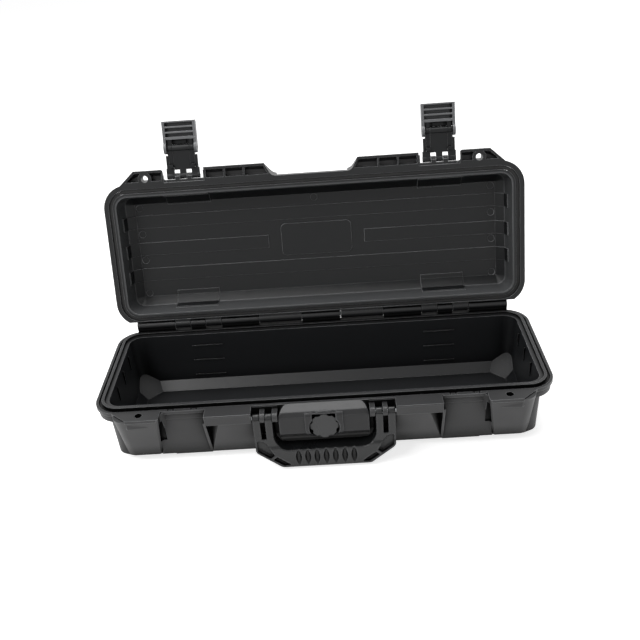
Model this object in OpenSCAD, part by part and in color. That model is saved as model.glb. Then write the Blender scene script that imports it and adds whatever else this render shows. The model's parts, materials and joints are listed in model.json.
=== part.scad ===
// A long, shallow moulded tool case with a hinged lid, two throw latches,
// a bail handle and a pressure valve. It stands open on its feet.
// Origin: centre of the underside, on the surface it stands on. +X runs along
// the case, -Y is the side with the latches, +Z is up. Sizes in millimetres.

/* [Opening] */
// Length of the opening inside the rim
open_l = 470; // [430:1:520]
// Width of the opening inside the rim
open_w = 143.6; // [130:0.1:165]
// Radius of the opening's corners
open_r = 14; // [12:0.5:18]
// Width of the rim's land around the opening
rim_w = 14.5; // [14:0.1:17]

/* [Shells] */
// Height of the tub from its underside to the parting plane
base_h = 76; // [74:0.5:100]
// Height of the lid from the parting plane to its top
lid_h = 41.5; // [40:0.5:60]
// Wall thickness of both shells
wall = 3.5; // [3:0.1:4]
// How far the walls draw in from the rim to the chamfer
draft = 3.5; // [2.5:0.1:4]
// Size of the chamfer round the bottom of the tub and the top of the lid
chamfer = 10; // [8:0.5:12]
// Height of the foot ring under the tub
foot_h = 1.5; // [1:0.1:3]
// Gap between the two parting faces when the lid is shut
part_gap = 0.3; // [0.2:0.05:0.5]
// Height of the sealing ridge on the tub's rim
ridge_h = 2.5; // [2:0.1:3]

/* [Lid hinge] */
// Angle the lid is open in the rest pose
open_angle = 104.8; // [90:0.1:110]
// Radius of the hinge pins
hinge_pin_r = 2; // [1.5:0.1:2.2]
// Radius of the hinge barrels
barrel_r = 5.75; // [5.5:0.05:6]
// Gap between neighbouring hinge knuckles
knuckle_gap = 0.8; // [0.6:0.1:1.2]

/* [Latches] */
// Distance of each latch from the middle of the case
latch_x = 151; // [145:1:160]
// Width of a latch
latch_w = 39; // [37:0.5:40]
// Distance from the lid pin to the lever's pivot
link_l = 32.5; // [31:0.5:36]
// Length of the lever from its pivot to its tip
lever_l = 31; // [28:0.5:34]
// Radius of the latch pins
latch_pin_r = 1.5; // [1.2:0.1:1.6]

/* [Handle] */
// Length of the handle over its arms
handle_l = 152; // [150:0.5:153]
// Drop of the handle below the parting plane
handle_drop = 72.5; // [70:0.5:76]
// Width of the opening for the hand
hand_l = 104; // [100:0.5:106]
// Height of the grip bar
grip_h = 26; // [24:0.5:28]
// Radius of the handle pins
handle_pin_r = 2; // [1.5:0.1:2.2]

/* [Valve and padlock eyes] */
// Radius of the valve's knob
knob_r = 15.2; // [13:0.1:15.5]
// Height of the valve's axis below the parting plane
valve_drop = 24; // [22:0.5:26]
// Radius of the padlock eyes
eye_r = 4; // [3:0.1:4.5]
// Distance of the padlock eyes from the middle of the case
eye_x = 197; // [194:0.5:200]

/* [Hidden] */
$fn = 48;
fit_fixed = 0.02; // radial clearance of a pin in the piece that holds it
fit_run = 0.08; // radial clearance of a pin in the piece that turns on it

ceiling = wall - 0.5; // thickness of the tub's floor and the lid's top
rim_z = foot_h + base_h; // height of the parting plane
tub_h = base_h - ceiling; // depth of the tub's floor below it
gusset = 16; // leg of the slanting gussets in the tub's corners
tub_rib = 1.2; // thickness of the low ribs inside the tub
back_ribs = [16, 36, 57]; // depth of the ribs by the hinge
rib_x = [124, 162]; // their ends
end_ribs = [-26, 6, 38]; // ribs on the tub's ends
half_l = open_l / 2;
half_w = open_w / 2;
rim_l = half_l + rim_w; // half length over the rim
rim_y = half_w + rim_w; // half width over the rim
flange_t = 4; // thickness of the rim's flange
skirt_h = 12.5; // depth of the skirt under the flange
skirt_in = 2; // how far the skirt stands in from the flange
skirt_t = 3; // wall of the skirt

ledge_y = rim_y + 15.2; // front edge of the ears and the ledge
panel_y = half_w + wall; // front face of the panels at their foot
panel_z = base_h - chamfer; // depth at which the panels end
panel_top = 3; // depth at which the corner panels start to slope
panel_edge = 2; // chamfer on the corner panels' inner edges
panel_front = 0.5 - ledge_y; // the panels' front where they start to slope
panel_skin = 3; // wall of the corner panels in front of their hollow
core_z = 44; // depth of that hollow
slope = atan((ledge_y - 0.5 - panel_y) / (panel_z - panel_top));

notch_in = latch_x - 24.5; // inner side of the latch recess
notch_out = latch_x + 23.5; // outer side of the latch recess
rib_t = 2.5; // rib on the inner side of the recess
rib_hold = 1.5; // height over which the rib joins the middle panel
pad_y = half_w + 12.7; // latch pad's face under the catch lip
lip_y = rim_y + 1.4; // catch lip's front edge
lip_t = 3.5; // catch lip's thickness
claw_x = 12.6; // the lever's claws from the latch's middle
claw_w = 4.6;
claw_gap = 0.3; // gap between a claw and the link
notch_d = 2.2; // depth of the notches behind the catch lip
corner_x = half_l - 5; // outer end of the corner panels
panel_in = handle_l / 2 + 0.8; // inner end of the middle panels

hinge_y = rim_y + 1.7;
hinge_z = barrel_r + 2.05; // above the parting plane
lid_back = hinge_y - barrel_r - 0.45; // back face of the lid's rim
knuckles = [24, 76.5, 123.5, 143, 161.5, 181, 228]; // ends of the knuckles from the middle

web_in = 1; // how far the knuckles' webs stand in from the barrel's edge

ridge_in = 5; // sealing ridge's inner face from the opening
ridge_t = 3; // sealing ridge's thickness
groove_in = ridge_in - 0.8;
groove_w = ridge_t + 1.6;
groove_d = 5; // depth of the lid's seal groove
seal_clear = 0.3; // gap between the ridge's top and the seal

lug_in = 49; // inner end of the handle's lugs
prong_gap = 0.3; // gap beside each handle prong
lug_1 = [lug_in, 54.5];
lug_2 = [62.8, 67.7];
pivot_y = -(rim_y + 9.7); // handle's axis
pivot_z = -9;
lug_r = 5.5;
prong_r = 4.5;
handle_t = 10; // thickness of the handle's arms
grip_t = 14; // thickness of the grip bar
corner_r = 8; // rounding of the handle's outer corners
funnel = 4; // how much wider the hand opening is in front
hollow_d = 4; // depth of the hollows in the handle's lower corners

housing_l = 96; // width of the valve housing
recess_r = knob_r + 1.1; // valve recess's radius
lip_w = 4.2; // raised lip round the recess
lip_rise = 1;
window_w = 25; // opening of the recess above the knob
recess_y = -(half_w + 13.2); // valve recess's floor
spigot_r = 8;
boss_r = 15; // flat boss inside the front wall
boss_y = -(half_w - 3); // its face

ledge_in = 55; // inner end of the lid's ledge
lid_pin_y = -(rim_y + 6.4); // latch pin on the lid, lid shut
lid_pin_z = 6;
lug_w = 5.4; // width of a latch lug on the lid
lug_x = 7; // latch lugs from the latch's middle
web_out = 2.7; // how far the rim stands out between the latch lugs
finger_gap = 0.6; // gap between a lug and the link's fingers
cheek_t = 3.1; // the lever's cheeks beside the link's end
eye_y = rim_y + 5.7;
eye_t = skirt_h; // thickness of the ears at the padlock eyes
cell_d = 11; // depth of the cored cells in the lid's ledge
cell_y = rim_y + 2.7; // their back wall
cell_rib = 2.2;
bands = [27.6, 61.6, 94.1]; // front edges of the bands over the lid, from the front of the opening
band_w = 15.8;
band_d = 1.2; // how far a band is pressed in from the lid's outside
band_foot = 16; // height over the rim at which the bands end
band_clear = 16; // gap between the middle band and the nameplate's recess
pad_d = 1.5; // how far the pads behind the latches stand in from the lid's walls
pad_x = [latch_x - 24, latch_x + 29]; // their ends
front_reach = 15.5; // how far the front pads run over the lid's ceiling from the opening's edge
back_reach = 19.5; // the same by the hinge
mark_r = 4.2; // round marks left by the mould's ejectors
mark_d = 0.3;
mark_x = half_l - 19;
mark_y = [18.3, 51, 83.6, 126]; // from the front of the opening
plate_l = 87; // bare recess for a nameplate
plate_w = 39.4;
plate_y = -3.4;
plate_d = 1.8; // depth of that recess

module mirrored() {
    children();
    mirror([1, 0, 0]) children();
}

// A rectangle with round corners, from its half sizes
module round_rect(hx, hy, r) {
    square([2 * hx, 2 * (hy - r)], center = true);
    square([2 * (hx - r), 2 * hy], center = true);
    for (sx = [-1, 1], sy = [-1, 1])
        translate([sx * (hx - r), sy * (hy - r)]) circle(r);
}

module rim_slab(grow, z0, z1) {
    translate([0, 0, z0]) linear_extrude(z1 - z0)
        round_rect(half_l + grow, half_w + grow, open_r + grow);
}

// One stage of a drafted box: half sizes and corner radius shrink by d from z0 to z1
module stage(hx, hy, r, d, z0, z1) {
    h = z1 - z0;
    for (sx = [-1, 1], sy = [-1, 1])
        translate([sx * (hx - r), sy * (hy - r), z0]) cylinder(h = h, r1 = r, r2 = r - d);
    translate([0, hy - r, z0]) rotate([90, 0, 0]) linear_extrude(2 * (hy - r))
        polygon([[-hx, 0], [hx, 0], [hx - d, h], [d - hx, h]]);
    translate([r - hx, 0, z0]) rotate([90, 0, 90]) linear_extrude(2 * (hx - r))
        polygon([[-hy, 0], [hy, 0], [hy - d, h], [d - hy, h]]);
}

// A tray of height h: drafted sides and a chamfer round its floor, growing up from z 0
module tray(grow, h, cham) {
    stage(half_l + grow, half_w + grow, open_r + grow, draft, 0, h - cham);
    stage(half_l + grow - draft, half_w + grow - draft, open_r + grow - draft,
          cham, h - cham, h);
}

// A bar along X from x0 to x1 whose section is drawn in Y and Z
module along_x(x0, x1) {
    translate([x0, 0, 0]) rotate([90, 0, 90]) linear_extrude(x1 - x0) children();
}

// A prism between two outlines of as many points, low at z0 and high at z1
module skew_prism(low, z0, high, z1) {
    n = len(low);
    polyhedron(
        points = concat([for (p = low) [p[0], p[1], z0]], [for (p = high) [p[0], p[1], z1]]),
        faces = concat([[for (i = [0:n - 1]) i]], [[for (i = [0:n - 1]) 2 * n - 1 - i]],
                       [for (i = [0:n - 1]) [i, n + i, n + (i + 1) % n, (i + 1) % n]]));
}

function unit(v) = v / norm(v);

// A corner of an outline at b, rounded with the radius r as seven points
function round_corner(a, b, c, r) =
    let (u = unit(a - b), v = unit(c - b), half = acos(u * v) / 2, m = b + unit(u + v) * r / sin(half),
         p = b + u * r / tan(half) - m, from = atan2(p[1], p[0]),
         turn = (u[0] * v[1] - u[1] * v[0] > 0 ? -1 : 1) * (180 - 2 * half))
    [for (i = [0:6]) m + r * [cos(from + turn * i / 6), sin(from + turn * i / 6)]];

// An outline with all its corners rounded
function rounded(pts, r) =
    let (n = len(pts))
    [for (i = [0:n - 1]) for (q = round_corner(pts[(i + n - 1) % n], pts[i], pts[(i + 1) % n], r)) q];

// Section in X and Z of a band pressed d into a tray, from the height low up over its top
function band_section(grow, h, d, low) =
    let (e = half_l + grow, k = d * tan(22.5), foot = e - d - draft * low / (h - chamfer))
    [[e + 5, low], [e + 5, h + 5], [-e - 5, h + 5], [-e - 5, low], [-foot, low],
     [d + draft - e, h - chamfer - k], [draft + chamfer + k - e, h - d],
     [e - draft - chamfer - k, h - d], [e - draft - d, h - chamfer - k], [foot, low]];

// The ears on the front corners in plan
function ear_outline(inset) = [
    [notch_out + inset, -(rim_y - 8)],
    [notch_out + inset, inset - ledge_y],
    [rim_l - 39.5 - inset * 0.4, inset - ledge_y],
    [rim_l - 1.5 - inset * 1.4, -(rim_y - 19.3)],
    [rim_l - 12, -(rim_y - 22)]
];

// ---- tub -------------------------------------------------------------

// The sloping front panel, its outer corners rounded along the slope
module front_slab() {
    intersection() {
        translate([0, panel_front, -panel_top]) rotate([slope, 0, 0])
            translate([0, half_w, 0]) linear_extrude(3 * base_h, center = true)
                round_rect(corner_x - 5, half_w, 12);
        translate([-half_l, -ledge_y, -panel_z]) cube([2 * half_l, rim_w + 20, panel_z - 1]);
    }
    mirrored() along_x(panel_in, notch_in)
        polygon([[-half_w, 0], [-ledge_y, 0], [1.2 - ledge_y, -skirt_h],
                 [3.5 - ledge_y, -skirt_h], [-half_w, -skirt_h - 20]]);
}

// What the latch recess takes out of the panel
module latch_pocket() {
    far = -ledge_y - 10;
    low_y = -panel_y - 0.2;
    in = notch_in + rib_t;
    c = panel_edge;
    low_f = panel_front + (panel_z + 1 - panel_top) * tan(slope);
    high_f = panel_front - (panel_top + 1) * tan(slope);
    skew_prism(
        [[in, low_y], [in, far], [notch_out + 10, far], [notch_out + 10, low_y - 0.5],
         [notch_out + 9.5, low_y]],
        -panel_z - 1,
        [[in, -pad_y], [in, far], [notch_out, far], [notch_out, -pad_y - 7], [notch_out - 7, -pad_y]],
        1);
    intersection() {
        skew_prism(
            [[notch_in, low_y], [notch_in - 25, low_y - 25], [notch_in, low_y - 25]], -panel_z - 1,
            [[notch_in, -pad_y], [notch_in - 25, -pad_y - 25], [notch_in, -pad_y - 25]], 1);
        translate([0, 2 * far, -panel_z - 2]) cube([notch_in, -2 * far, panel_z + 2 - skirt_h]);
    }
    translate([notch_in, far, rib_hold - skirt_h]) cube([rib_t + 1, -far - pad_y, skirt_h]);
    // chamfer on the corner panel's inner edge
    skew_prism(
        [[notch_out + 9, low_f + c + 1], [notch_out + 9, low_f - 3], [notch_out + 13 + c, low_f - 3]],
        -panel_z - 1,
        [[notch_out - 1, high_f + c + 1], [notch_out - 1, high_f - 3], [notch_out + 3 + c, high_f - 3]], 1);
}

module base_ears() {
    mirrored() translate([0, 0, -panel_top - 0.5]) linear_extrude(panel_top + 0.5)
        polygon(ear_outline(0));
    mirrored() translate([0, 0, -skirt_h]) linear_extrude(skirt_h - 1)
        polygon(concat([[eye_x - 9, -rim_y + 8]], [[eye_x - 9, 4 - ledge_y]],
                       [for (i = [2:4]) ear_outline(skirt_in)[i]]));
}

// Catch lip over each pad
module catch_lip() {
    translate([notch_in + 1, -lip_y, -lip_t]) cube([notch_out - notch_in - 2, 8, lip_t]);
}

// Two notches behind the catch lip, each with a tab in its middle
module lip_notches() {
    for (side = [-1, 1]) translate([latch_x + side * claw_x, -rim_y - 0.2, -notch_d]) difference() {
        translate([-4, 0, 0]) cube([8, 3.8, notch_d + 1]);
        translate([-1.8, -1, -1]) cube([3.6, 3.4, notch_d + 1]);
    }
}

module handle_lugs() {
    mirrored() for (lug = [lug_1, lug_2]) along_x(lug[0], lug[1]) {
        translate([pivot_y, pivot_z]) circle(lug_r);
        translate([pivot_y, pivot_z - lug_r]) square([-pivot_y - rim_y + 4, 2 * lug_r]);
    }
}

module housing_section() {
    along_x(-housing_l / 2, housing_l / 2)
        polygon([[-half_w, 0], [-rim_y, 0], [-ledge_y + 5, -4], [-ledge_y + 2, -9],
                 [-ledge_y + 2, -30], [-ledge_y + 9, -39], [-panel_y - 7, -49],
                 [-panel_y, -panel_z - 1], [-half_w, -panel_z - 1]]);
}

module valve_housing() {
    lip_r = recess_r + lip_w;
    intersection() {
        translate([0, 0, -panel_z / 2]) rotate([90, 0, 0]) linear_extrude(2 * ledge_y)
            round_rect(housing_l / 2, panel_z / 2, 10);
        housing_section();
    }
    // a raised lip runs round the recess and up beside it
    intersection() {
        translate([0, -half_w, -valve_drop]) rotate([90, 0, 0]) linear_extrude(ledge_y - half_w) {
            circle(lip_r);
            translate([-lip_r, 0]) square([2 * lip_r, valve_drop - 5.5]);
        }
        translate([0, -lip_rise, 0]) housing_section();
    }
}

// Base knuckles stand on the back of the rim
module base_knuckle(x0, x1) {
    along_x(x0, x1) {
        translate([hinge_y, hinge_z]) circle(barrel_r);
        polygon([[lid_back + web_in, hinge_z], [hinge_y + barrel_r - web_in, hinge_z],
                 [rim_y + 3, -4], [rim_y - skirt_in, -skirt_h], [lid_back + web_in, -skirt_h]]);
    }
}

module lid_knuckle(x0, x1) {
    along_x(x0, x1) {
        translate([hinge_y, hinge_z]) circle(barrel_r);
        polygon([[lid_back - 1, hinge_z - barrel_r + web_in], [hinge_y, hinge_z - barrel_r + web_in],
                 [hinge_y + 2, hinge_z + barrel_r - 0.8], [lid_back - 1, skirt_h + 4]]);
    }
}

// The rim's flange reaches out under the lid's knuckles
module hinge_shelf() {
    along_x(-knuckles[6] + 0.5, knuckles[6] - 0.5)
        polygon([[rim_y - 1.5, -0.3], [hinge_y + 1.5, -0.3], [hinge_y + 1.5, -2.4],
                 [rim_y - 1.5, -flange_t - 1.5]]);
}

module hinge_bore(fit) {
    along_x(-knuckles[6] - 5, knuckles[6] + 5)
        translate([hinge_y, hinge_z]) circle(hinge_pin_r + fit);
}

module foot_ring() {
    foot_w = 42;
    foot_y = half_w - draft - chamfer + wall;
    mirrored() translate([latch_x - foot_w / 2, -foot_y, -base_h - foot_h])
        cube([foot_w, 2 * foot_y, foot_h + 1]);
    for (sy = [-1, 1]) translate([0, sy * (foot_y - 16), -base_h - foot_h / 2 + 0.5])
        cube([2 * latch_x, 8, foot_h + 1], center = true);
}

module tub_outside() {
    mirror([0, 0, 1]) tray(wall, base_h, chamfer);
    rim_slab(rim_w, -flange_t, 0);
    difference() {
        rim_slab(rim_w - skirt_in, -skirt_h, -1);
        rim_slab(rim_w - skirt_in - skirt_t, -skirt_h - 1, 0);
    }
    rim_slab(ridge_in + ridge_t, -1, ridge_h);
}

module base_body() {
    difference() {
        union() {
            difference() {
                union() {
                    front_slab();
                    base_ears();
                }
                mirrored() latch_pocket();
                mirrored() translate([lug_1[0] - 0.2, -ledge_y - 10, -panel_z - 1])
                    cube([panel_in - lug_1[0] + 0.2, ledge_y + 10 - rim_y - 0.7, panel_z + 2]);
                translate([-lug_in, -ledge_y - 10, -panel_z - 1])
                    cube([2 * lug_in, ledge_y + 10 - rim_y, panel_z + 2]);
            }
            tub_outside();
            valve_housing();
            handle_lugs();
            mirrored() catch_lip();
            mirrored() base_knuckle(knuckles[1] + knuckle_gap / 2, knuckles[2] - knuckle_gap / 2);
            mirrored() base_knuckle(knuckles[3] + knuckle_gap / 2, knuckles[4] - knuckle_gap / 2);
            mirrored() base_knuckle(knuckles[5] + knuckle_gap / 2, knuckles[6]);
            base_knuckle(-knuckles[0] + knuckle_gap / 2, knuckles[0] - knuckle_gap / 2);
            hinge_shelf();
            foot_ring();
        }
        difference() {
            mirror([0, 0, 1]) tray(0, tub_h, chamfer);
            translate([0, boss_y, -valve_drop]) rotate([90, 0, 0]) cylinder(h = 20, r = boss_r);
            tub_gussets();
            tub_ribs();
        }
        linear_extrude(ridge_h + 1)
            round_rect(half_l + ridge_in, half_w + ridge_in, open_r + ridge_in);
        // drain channel outside the ridge
        difference() {
            rim_slab(rim_w - 3, -2, 1);
            rim_slab(ridge_in + ridge_t, -3, 2);
        }
        // valve recess and its bore
        translate([0, recess_y, -valve_drop]) rotate([90, 0, 0]) {
            cylinder(h = 40, r = recess_r);
            translate([-window_w / 2, 0, 0]) cube([window_w, valve_drop - 6.5, 40]);
        }
        translate([0, 0, -valve_drop]) rotate([90, 0, 0])
            cylinder(h = 120, r = spigot_r + fit_fixed);
        mirrored() lip_notches();
        // padlock eyes, and the hollow behind the corner panels that a shackle turns in
        mirrored() translate([eye_x, -eye_y, -eye_t - 1]) cylinder(h = eye_t + 2, r = eye_r);
        mirrored() along_x(notch_out, eye_x + 9)
            polygon([[-panel_y - 1.2, -eye_t],
                     [panel_skin - ledge_y + (eye_t - panel_top) * tan(slope), -eye_t],
                     [panel_skin - ledge_y + (core_z - panel_top) * tan(slope), -core_z],
                     [-panel_y - 1.2, -core_z]]);
        // handle pins
        mirrored() along_x(lug_in + 1.2, panel_in + 4)
            translate([pivot_y, pivot_z]) circle(handle_pin_r + fit_fixed);
        hinge_bore(fit_fixed);
        // room for the lid's knuckles
        mirrored() for (k = [0, 2, 4])
            along_x(knuckles[k] - knuckle_gap / 2, knuckles[k + 1] + knuckle_gap / 2)
                translate([hinge_y, hinge_z]) circle(barrel_r + 0.4);
    }
}

// Slanting gussets in the corners of the tub's floor
module tub_gussets() {
    mirrored() for (sy = [0, 1]) mirror([0, sy, 0])
        translate([half_l - draft - chamfer, half_w - draft - chamfer, -tub_h]) rotate([0, 0, 45])
            translate([-gusset / sqrt(2), -gusset * 2, 0]) rotate([0, 45, 0])
                translate([0, 0, -gusset]) cube([gusset * 3, gusset * 4, gusset * 5]);
}

// Low ribs inside the tub: level ones by the hinge and upright ones on the ends
module tub_ribs() {
    mirrored() for (z = back_ribs) along_x(rib_x[0], rib_x[1])
        translate([half_w - 1 - draft * z / (tub_h - chamfer), -z]) square([draft + 2, tub_rib]);
    mirrored() for (y = end_ribs)
        translate([half_l - 2.2, y - tub_rib / 2, -24]) cube([4, tub_rib, 18]);
}

// ---- lid, drawn shut ----

module lid_slab() {
    ear = ear_outline(0.5);
    intersection() {
        translate([0, panel_front, panel_top]) rotate([-slope, 0, 0])
            translate([0, half_w, 0]) linear_extrude(3 * base_h, center = true)
                round_rect(corner_x - 5, half_w, 12);
        // its ends are cut off along the ears
        translate([0, 0, 1]) linear_extrude(lid_h - 6)
            polygon([[-ear[3][0], ear[3][1]], [-ear[2][0], ear[2][1]], ear[2], ear[3]]);
    }
}

module lid_ledge() {
    mirrored() linear_extrude(panel_top + 0.5) {
        polygon(ear_outline(0));
        translate([0, -ledge_y]) square([notch_in, ledge_y - rim_y + 8]);
    }
}

// The gap in the middle of the lid's ledge, with slanting sides that run out in an arc
module ledge_gap() {
    slant = 62;
    foot_r = 9;
    foot_x = ledge_in - (ledge_y - rim_y) / tan(slant) - foot_r / tan(90 - slant / 2);
    side = concat([[ledge_in + 10 / tan(slant), -ledge_y - 10]],
                  [for (a = [90 - slant:(slant - 8) / 6:82.1])
                      [foot_x + foot_r * cos(a), foot_r * (sin(a) - 1) - rim_y]],
                  [[foot_x + foot_r * cos(82), 2 - rim_y]]);
    translate([0, 0, -1]) linear_extrude(lid_h) union() {
        polygon(concat(side, [[-1, 2 - rim_y], [-1, -ledge_y - 10]]));
        mirror([1, 0]) polygon(concat(side, [[-1, 2 - rim_y], [-1, -ledge_y - 10]]));
    }
}

// A cored-out cell of the lid's ledge, its front wall following the slope
module lid_cell(x0, x1, cut0, cut1) {
    front = cell_rib - ledge_y;
    back = -cell_y;
    rise = (cell_d + 1) * tan(slope);
    skew_prism(
        [[x0 - cut0, back], [x0, front], [x1, front], [x1 + cut1, back]], -1,
        [[x0 - cut0, back], [x0, front + rise], [x1, front + rise], [x1 + cut1, back]], cell_d);
}

// Cored-out cells in the ears and the ledge
module lid_cells() {
    n = 3;
    pitch = (notch_in - ledge_in - cell_rib) / n;
    mirrored() difference() {
        union() {
            for (i = [0:n - 1])
                lid_cell(ledge_in + 1 + i * pitch + (i == 0 ? 0 : cell_rib / 2),
                         ledge_in + 1 + (i + 1) * pitch - cell_rib / 2, i == 0 ? 5.5 : 0, 0);
            lid_cell(notch_out + cell_rib, rim_l - 41, 0, 11);
        }
        translate([eye_x, -eye_y, -2]) cylinder(h = 40, r = eye_r + 4);
    }
}

module latch_lugs() {
    // the rim stands out behind the link's fingers
    mirrored() along_x(notch_in - 1, notch_out + 0.5)
        translate([-rim_y - web_out, 1.5]) square([web_out + 4, 7]);
    mirrored() for (side = [-1, 1])
        along_x(latch_x + side * lug_x - lug_w / 2, latch_x + side * lug_x + lug_w / 2) {
            translate([lid_pin_y, lid_pin_z]) circle(3.4);
            translate([lid_pin_y, 1.5]) square([-lid_pin_y - rim_y + 4, 12]);
            translate([lid_pin_y, lid_pin_z - 3.4]) square([4, 6.8]);
        }
}

module lid_outside() {
    difference() {
        tray(wall, lid_h, chamfer);
        lid_bands(wall, lid_h);
        // bare recess for a nameplate
        translate([0, plate_y, lid_h - plate_d]) linear_extrude(plate_d + 1)
            round_rect(plate_l / 2 - ceiling, plate_w / 2 - ceiling, 4);
    }
    difference() {
        union() {
            rim_slab(rim_w, 0, flange_t);
            difference() {
                rim_slab(rim_w - skirt_in, 1, skirt_h);
                rim_slab(rim_w - skirt_in - skirt_t, 0, skirt_h + 1);
            }
        }
        translate([-rim_l - 1, lid_back, -1]) cube([2 * rim_l + 2, 40, skirt_h + 3]);
    }
    along_x(open_r - half_l, half_l - open_r)
        translate([lid_back - skirt_t, 1]) square([skirt_t, skirt_h - 1]);
}

module lid_inside() {
    h = lid_h - ceiling;
    difference() {
        tray(0, h, chamfer);
        lid_bands(0, h);
        translate([0, plate_y, h - plate_d]) linear_extrude(plate_d + 1)
            round_rect(plate_l / 2, plate_w / 2, 6);
        mirrored() lid_pad(back_reach);
        mirrored() mirror([0, 1, 0]) lid_pad(front_reach);
    }
    marks = concat([for (x = [-mark_x, mark_x], y = mark_y) [x, y]], [[0, mark_y[0]]]);
    for (m = marks) translate([m[0], m[1] - half_w, h - 1]) cylinder(h = 1 + mark_d, r = mark_r);
}

// Three bands over the lid and down its ends; the middle one leaves out the nameplate
module lid_bands(grow, h) {
    difference() {
        for (b = bands) translate([0, b + band_w - half_w, 0]) rotate([90, 0, 0])
            linear_extrude(band_w) polygon(band_section(grow, h, band_d, band_foot));
        translate([0, plate_y, 0]) linear_extrude(lid_h + 10)
            square([plate_l + 2 * band_clear, plate_w + 4], center = true);
    }
}

// A pad behind each latch, over the lid's ceiling and down its long wall
module lid_pad(reach) {
    h = lid_h - ceiling;
    k = pad_d * tan(22.5);
    along_x(pad_x[0], pad_x[1])
        polygon([[half_w + 5, band_foot], [half_w + 5, h + 5], [half_w - reach, h + 5],
                 [half_w - reach, h - pad_d],
                 [half_w - draft - chamfer - k, h - pad_d], [half_w - draft - pad_d, h - chamfer - k],
                 [half_w - pad_d - draft * band_foot / (h - chamfer), band_foot]]);
}

module lid_body() {
    difference() {
        union() {
            difference() {
                union() {
                    lid_slab();
                    lid_ledge();
                }
                mirrored() mirror([0, 0, 1]) latch_pocket();
                ledge_gap();
            }
            lid_outside();
            latch_lugs();
            mirrored() lid_knuckle(knuckles[0] + knuckle_gap / 2, knuckles[1] - knuckle_gap / 2);
            mirrored() lid_knuckle(knuckles[2] + knuckle_gap / 2, knuckles[3] - knuckle_gap / 2);
            mirrored() lid_knuckle(knuckles[4] + knuckle_gap / 2, knuckles[5] - knuckle_gap / 2);
        }
        lid_inside();
        lid_cells();
        // seal groove
        difference() {
            rim_slab(groove_in + groove_w, -1, groove_d);
            rim_slab(groove_in, -2, groove_d + 1);
        }
        mirrored() translate([eye_x, -eye_y, -1]) cylinder(h = 60, r = eye_r);
        // room for a shackle behind the padlock eyes
        mirrored() translate([eye_x - 10, -ledge_y - 1, eye_t]) cube([20, ledge_y - rim_y - 0.5, lid_h]);
        mirrored() along_x(latch_x - 20, latch_x + 20)
            translate([lid_pin_y, lid_pin_z]) circle(latch_pin_r + fit_fixed);
        hinge_bore(fit_run);
        // the lid's rim stays clear of the tub's
        translate([-rim_l - 5, -ledge_y - 5, part_gap - 10]) cube([2 * rim_l + 10, 2 * ledge_y, 10]);
    }
}

// Puts what is drawn with the lid shut where it is with the lid open
module opened() {
    translate([0, hinge_y, rim_z + hinge_z]) rotate([-open_angle, 0, 0])
        translate([0, -hinge_y, -hinge_z]) children();
}

module at_rim() {
    translate([0, 0, rim_z]) children();
}

// ---- nodes ---------------------------------------------------------------

module base_shell() {
    color([0.16, 0.16, 0.17]) at_rim() base_body();
}

module lid_shell() {
    color([0.17, 0.17, 0.18]) opened() lid_body();
}

module seal() {
    color([0.08, 0.08, 0.08]) opened() difference() {
        rim_slab(groove_in + groove_w - 0.1, ridge_h + seal_clear, groove_d - 0.05);
        rim_slab(groove_in + 0.1, 0, groove_d + 1);
    }
}

module hinge_pin(side) {
    color([0.7, 0.71, 0.73]) at_rim() mirror([side < 0 ? 1 : 0, 0, 0])
        along_x(0.5, knuckles[6] - 2) translate([hinge_y, hinge_z]) circle(hinge_pin_r);
}

module handle_pin(side) {
    color([0.7, 0.71, 0.73]) at_rim() mirror([side < 0 ? 1 : 0, 0, 0])
        along_x(lug_in + 1.5, panel_in + 3.7) translate([pivot_y, pivot_z]) circle(handle_pin_r);
}

// A pointed oval groove: an arc turned about its own chord
module finger_groove() {
    len = 21;
    wide = 6.4;
    arc_r = (len * len / 4 + wide * wide / 4) / wide;
    rotate_extrude() intersection() {
        translate([wide / 2 - arc_r, 0]) circle(arc_r, $fn = 96);
        translate([0, -len / 2]) square([wide, len]);
    }
}

module handle_outline() {
    outer = handle_l / 2;
    side = [[outer, pivot_z + 30], [outer - 0.5, 22 - handle_drop], [outer - 28, -handle_drop]];
    intersection() {
        polygon(rounded(concat(side, [for (i = [2, 1, 0]) [-side[i][0], side[i][1]]]), corner_r));
        translate([-outer, -handle_drop]) square([2 * outer, handle_drop + pivot_z]);
    }
}

// The opening for the hand, wider towards the front
module hand_opening() {
    low = grip_h - handle_drop;
    high = pivot_z + 20;
    translate([0, pivot_y - grip_t / 2 - 1, (low + high) / 2]) rotate([-90, 0, 0])
        stage(hand_l / 2 + funnel, (high - low) / 2 + funnel, 14 + funnel, funnel, 0, grip_t + 2);
}

// Two hollows in each lower corner of the handle's front, with a rib between them
module handle_hollows() {
    x = handle_l / 2;
    z = -handle_drop;
    mirrored() translate([0, pivot_y - grip_t / 2 + hollow_d, 0]) rotate([90, 0, 0])
        linear_extrude(hollow_d + 1) {
            polygon(rounded([[x - 2.5, z + 35.5], [x - 2.5, z + 23], [x - 15.5, z + 12.6], [x - 20.5, z + 17],
                             [x - 16, z + 25.5], [x - 10, z + 34]], 1.2));
            polygon(rounded([[x - 18, z + 11.1], [x - 29.5, z + 2.3], [x - 38, z + 3], [x - 29, z + 10],
                             [x - 22.5, z + 14.8]], 1));
        }
}

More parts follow.
